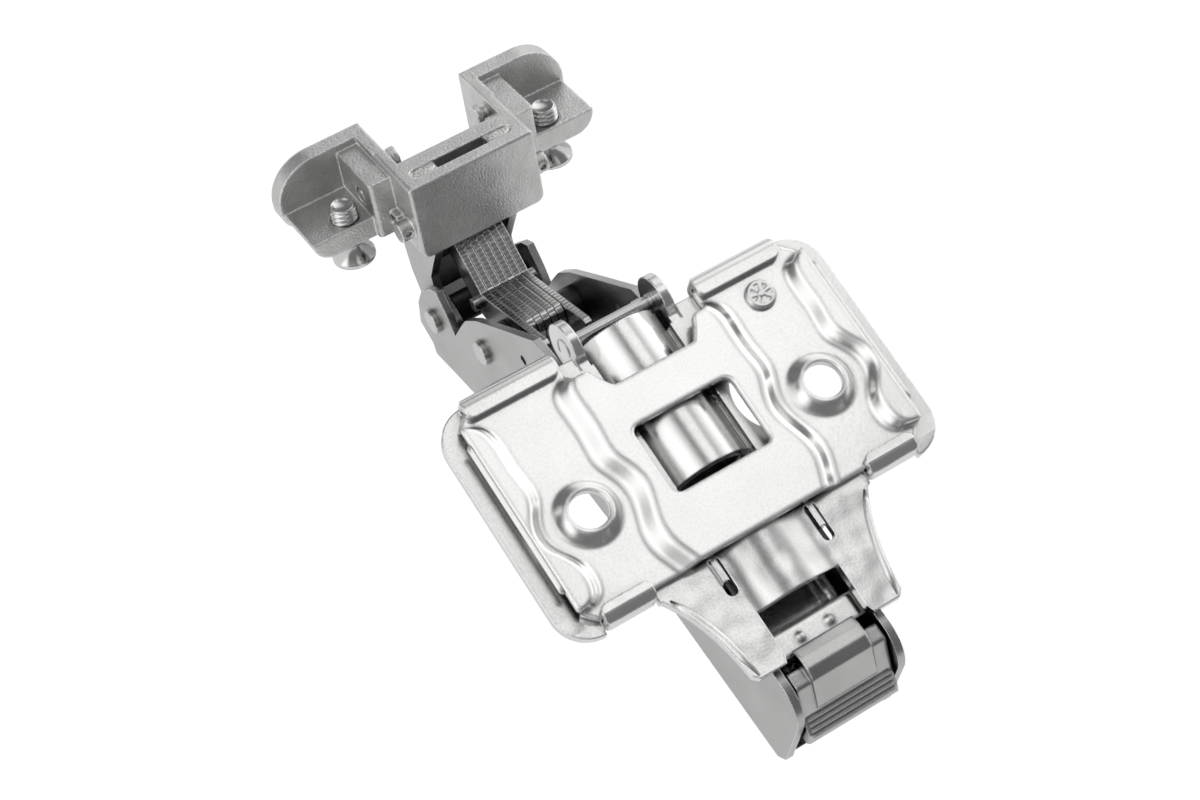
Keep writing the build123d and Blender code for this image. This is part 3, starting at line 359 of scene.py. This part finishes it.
# Arc stamped on the left ear, in degrees about its middle
STAMP_X, STAMP_Z, EAR_FACE = 19.2, -4.0, 6.8
STAMP_HALF_X, STAMP_HALF_Z, STAMP_R = 1.3, 1.5, 0.12
STAMP_ARC = range(-70, 171, 20)

# Return of the outer link's web, bent in under the arm's pivot, as (x, z)
WEB_PROFILE = ((47.9, -42.2), (42.6, -42.2), (42.4, -42.0), (42.4, -41.6), (42.6, -41.42),
               (47.9, -41.42))
WEB_HALF = 5.0


def in_bracket(into, along, y):
    """Row point in metres of a place given in the bracket's millimetres."""
    return (BRACKET + INTO * into + ALONG * along + Vector((0, y, 0))) * MM


def ringed(name, rings, body, slot, smooth=True):
    """A closed skin over rings of points in metres, riding on a body."""
    count = len(rings[0])
    points = [point for ring in rings for point in ring]
    faces = [
        (k * count + i, k * count + (i + 1) % count, (k + 1) * count + (i + 1) % count,
         (k + 1) * count + i)
        for k in range(len(rings) - 1)
        for i in range(count)
    ]
    faces += [tuple(reversed(range(count))), tuple(range(len(points) - count, len(points)))]
    mesh = bpy.data.meshes.new(name)
    mesh.from_pydata(points, [], faces)
    mesh.polygons.foreach_set("use_smooth", [smooth] * len(faces))
    mesh.materials.append(FINISHES[slot])
    made = bpy.data.objects.new(name, mesh)
    bpy.context.scene.collection.objects.link(made)
    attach(made, body)
    return made


def clamp_screw(label, side):
    """Clamp screw with a dished end, a rolled thread and a cone foot."""

    def ring_point(into, radius, angle):
        reach = ALONG * math.cos(angle) + INTO.cross(ALONG) * math.sin(angle)
        return in_bracket(into, SCREW_ALONG, side * SCREW_Y) + reach * radius * MM

    def thread_radius(into, angle):
        phase = into / THREAD_PITCH - angle / (2 * math.pi)
        ridge = (0.5 + 0.5 * math.cos(2 * math.pi * phase)) ** CREST_BLUNTNESS
        grown = min(1.0, (into - THREAD_FIRST) / THREAD_RUN_IN)
        return ROOT_R + (CREST_R - ROOT_R) * ridge * grown

    def plain(profile):
        return [[ring_point(into, radius, a) for a in RING_ANGLES] for into, radius in profile]

    step = THREAD_PITCH / STEPS_PER_TURN
    depths = [THREAD_FIRST + k * step for k in range(int((THREAD_LAST - THREAD_FIRST) / step) + 1)]
    thread = [[ring_point(into, thread_radius(into, a), a) for a in RING_ANGLES] for into in depths]
    made = ringed("threaded_clamp_" + label, plain(DISHED_END) + thread + plain(CONE_FOOT),
                  "clamp_" + label, "screw_steel")
    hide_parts("clamp_screw_" + label)


def slot_pad(label, side):
    """Oval pad at one end of the bridge's slot, with the rings that an ejector pin left on it."""
    rings = []
    for k in range(PAD_STEPS + 1):
        reach = 1 - (1 - PAD_MIDDLE) * k / PAD_STEPS
        level = PAD_TOP + PAD_RING_HEIGHT * math.cos(2 * math.pi * PAD_RINGS * reach)
        if k == 0:
            level = PAD_FOOT
        rings.append([
            in_bracket(level, SLOT_ALONG + PAD_HALF_ALONG * reach * math.sin(a),
                       side * PAD_Y + PAD_HALF_Y * reach * math.cos(a))
            for a in RING_ANGLES
        ])
    ringed("slot_pad_" + label, rings, "door_bracket", "cast_metal")


def bead(name, path, radius, body, slot, facing=(0, 0, 1)):
    """A round ridge along a path of row points, on a flat that looks along facing."""
    points = [Vector(point) for point in path]
    last = len(points) - 1
    rings = []
    for k, point in enumerate(points):
        run = (points[min(k + 1, last)] - points[max(k - 1, 0)]).normalized()
        across = run.cross(Vector(facing)).normalized()
        size = radius * (BEAD_TIP if k in (0, last) else 1.0)
        rings.append([
            (point + (across * math.cos(a) + run.cross(across) * math.sin(a)) * size) * MM
            for a in RING_ANGLES
        ])
    ringed(name, rings, body, slot)


for label, side in SIDES:
    clamp_screw(label, side)
for label, side in SIDES:
    slot_pad(label, side)
for label, side in SIDES:
    bead("flank_rim_" + label, [(x, side * y, RIM_Z) for x, y in RIM_PATH], RIM_R,
         "saddle", "plated_sheet")
for label, side in SIDES:
    bead("plate_lip_" + label, [(x, side * LIP_Y, LIP_Z) for x in LIP_X], LIP_R,
         "base", "plated_sheet")
bead("ear_stamp",
     [(STAMP_X + STAMP_HALF_X * math.cos(math.radians(angle)), EAR_FACE,
       STAMP_Z + STAMP_HALF_Z * math.sin(math.radians(angle))) for angle in STAMP_ARC],
     STAMP_R, "saddle", "plated_sheet", facing=(0, 1, 0))
ringed("outer_link_web",
       [[(x * MM, y * MM, z * MM) for x, z in WEB_PROFILE] for y in (-WEB_HALF, WEB_HALF)],
       "outer_link", "arm_steel", smooth=False)


# --- stage, light and camera -------------------------------------------------------------

FLOOR_HALF, FLOOR_LEVEL = 3.0, -0.09  # metres
FLOOR_GLOW = 0.78  # the rest of the white is lit, so that a faint shadow shows
MIRRORED_FLOOR = 0.45  # how much of the floor's white the metal shows
DIM_ROOM = 0.18

# Soft panels of the room as seen in the metal: azimuth from +x, elevation, strength
PANEL_REACH = 36  # degrees from a panel's middle to where it has faded out
PANELS = (
    ("ceiling over the left", 60, 50, 1.11),
    ("ceiling behind the left", 120, 50, 0.28),
    ("ceiling over the right", -60, 50, 0.21),
    ("wall behind the right wing", -90, 22, 0.47),
    ("wall behind the arm", -45, 22, 1.06),
    ("low wall, right", -90, 3, 0.79),
    ("low wall, left", 90, 3, 1.23),
)

KEY_PLACE = Vector((0.3, -0.3, 0.9))  # metres, aimed at the origin
KEY_SIZE = 0.35  # metres
KEY_WATTS = 0.29

CAMERA_PLACE = Vector((-70.66, 95.39, 261.83))
CAMERA_AIM = Vector((10.576, 7.866, 0.0))
CAMERA_ROLL = 16.01  # degrees
SENSOR_WIDTH, FOCAL_LENGTH = 36.0, 76.45
CLIP_START = 0.01  # metres


def floor():
    """White painted floor below the hinge, which takes a faint shadow."""
    material, tree = new_material("white_painted_floor")
    ray = add(tree, "ShaderNodeLightPath")
    # the matt paint lights the hinge from below; what is seen glows, and only its rest is lit
    matt = add(tree, "ShaderNodeBsdfDiffuse", {"Color": linear("f3f3f3")})
    faint = add(tree, "ShaderNodeBsdfDiffuse", {"Color": linear("bcbcbc")})
    glow = add(tree, "ShaderNodeEmission", {"Color": linear("ffffff"), "Strength": FLOOR_GLOW})
    white = add(tree, "ShaderNodeAddShader",
                {0: faint.outputs["BSDF"], 1: glow.outputs["Emission"]})
    mirrored = add(tree, "ShaderNodeMath", {0: ray.outputs["Is Glossy Ray"], 1: MIRRORED_FLOOR},
                   operation="MULTIPLY").outputs["Value"]
    seen = add(tree, "ShaderNodeMath", {0: ray.outputs["Is Camera Ray"], 1: mirrored},
               operation="MAXIMUM").outputs["Value"]
    seen = add(tree, "ShaderNodeMath", {0: seen, 1: ray.outputs["Is Transmission Ray"]},
               operation="MAXIMUM").outputs["Value"]
    mixed = add(tree, "ShaderNodeMixShader",
                {"Fac": seen, 1: matt.outputs["BSDF"], 2: white.outputs["Shader"]})
    add(tree, "ShaderNodeOutputMaterial", {"Surface": mixed.outputs["Shader"]})
    mesh = bpy.data.meshes.new("floor")
    corners = [(x * FLOOR_HALF, y * FLOOR_HALF, FLOOR_LEVEL)
               for x, y in ((-1, -1), (1, -1), (1, 1), (-1, 1))]
    mesh.from_pydata(corners, [], [(0, 1, 2, 3)])
    mesh.materials.append(material)
    made = bpy.data.objects.new("floor", mesh)
    bpy.context.scene.collection.objects.link(made)


def world():
    """White to the camera and through glass; to the metal, a dim room with soft bright panels."""
    made = bpy.data.worlds.new("studio")
    bpy.context.scene.world = made
    made.use_nodes = True
    tree = made.node_tree
    tree.nodes.clear()
    coords = add(tree, "ShaderNodeTexCoord").outputs["Generated"]
    room = DIM_ROOM
    for label, azimuth, elevation, strength in PANELS:
        turn, rise = math.radians(azimuth), math.radians(elevation)
        middle = (math.cos(turn) * math.cos(rise), math.sin(turn) * math.cos(rise), math.sin(rise))
        near = add(tree, "ShaderNodeVectorMath", {0: coords, 1: middle},
                   operation="DOT_PRODUCT", label=label).outputs["Value"]
        panel = add(tree, "ShaderNodeMapRange",
                    {"Value": near, "From Min": math.cos(math.radians(PANEL_REACH)),
                     "From Max": 1.0, "To Max": strength},
                    interpolation_type="SMOOTHSTEP").outputs["Result"]
        room = add(tree, "ShaderNodeMath", {0: room, 1: panel}, operation="ADD").outputs["Value"]
    ray = add(tree, "ShaderNodeLightPath")
    seen = add(tree, "ShaderNodeMath",
               {0: ray.outputs["Is Camera Ray"], 1: ray.outputs["Is Transmission Ray"]},
               operation="MAXIMUM").outputs["Value"]
    shown = add(tree, "ShaderNodeMix", {"Factor": seen, "A": room, "B": 1.0},
                data_type="FLOAT").outputs["Result"]
    back = add(tree, "ShaderNodeBackground", {"Color": shown, "Strength": 1.0})
    add(tree, "ShaderNodeOutputWorld", {"Surface": back.outputs["Background"]})


def key_lamp():
    """Square soft lamp high over the plate, which draws the shadow."""
    lamp = bpy.data.lights.new("key", "AREA")
    lamp.shape = "SQUARE"
    lamp.size = KEY_SIZE
    lamp.energy = KEY_WATTS
    made = bpy.data.objects.new("key", lamp)
    made.location = KEY_PLACE
    made.rotation_euler = (-KEY_PLACE).to_track_quat("-Z", "Y").to_euler()
    bpy.context.scene.collection.objects.link(made)


def camera():
    """Long lens above the plate's mounting face, rolled a little about its own axis."""
    lens = bpy.data.cameras.new("camera")
    lens.sensor_width = SENSOR_WIDTH
    lens.lens = FOCAL_LENGTH
    lens.clip_start = CLIP_START
    made = bpy.data.objects.new("camera", lens)
    made.location = CAMERA_PLACE * MM
    made.rotation_mode = "QUATERNION"
    sight = (CAMERA_AIM * MM - CAMERA_PLACE * MM).to_track_quat("-Z", "Y")
    made.rotation_quaternion = sight @ Quaternion((0, 0, 1), math.radians(CAMERA_ROLL))
    bpy.context.scene.collection.objects.link(made)
    bpy.context.scene.camera = made


floor()
world()
key_lamp()
camera()
bpy.context.scene.view_settings.view_transform = "Standard"
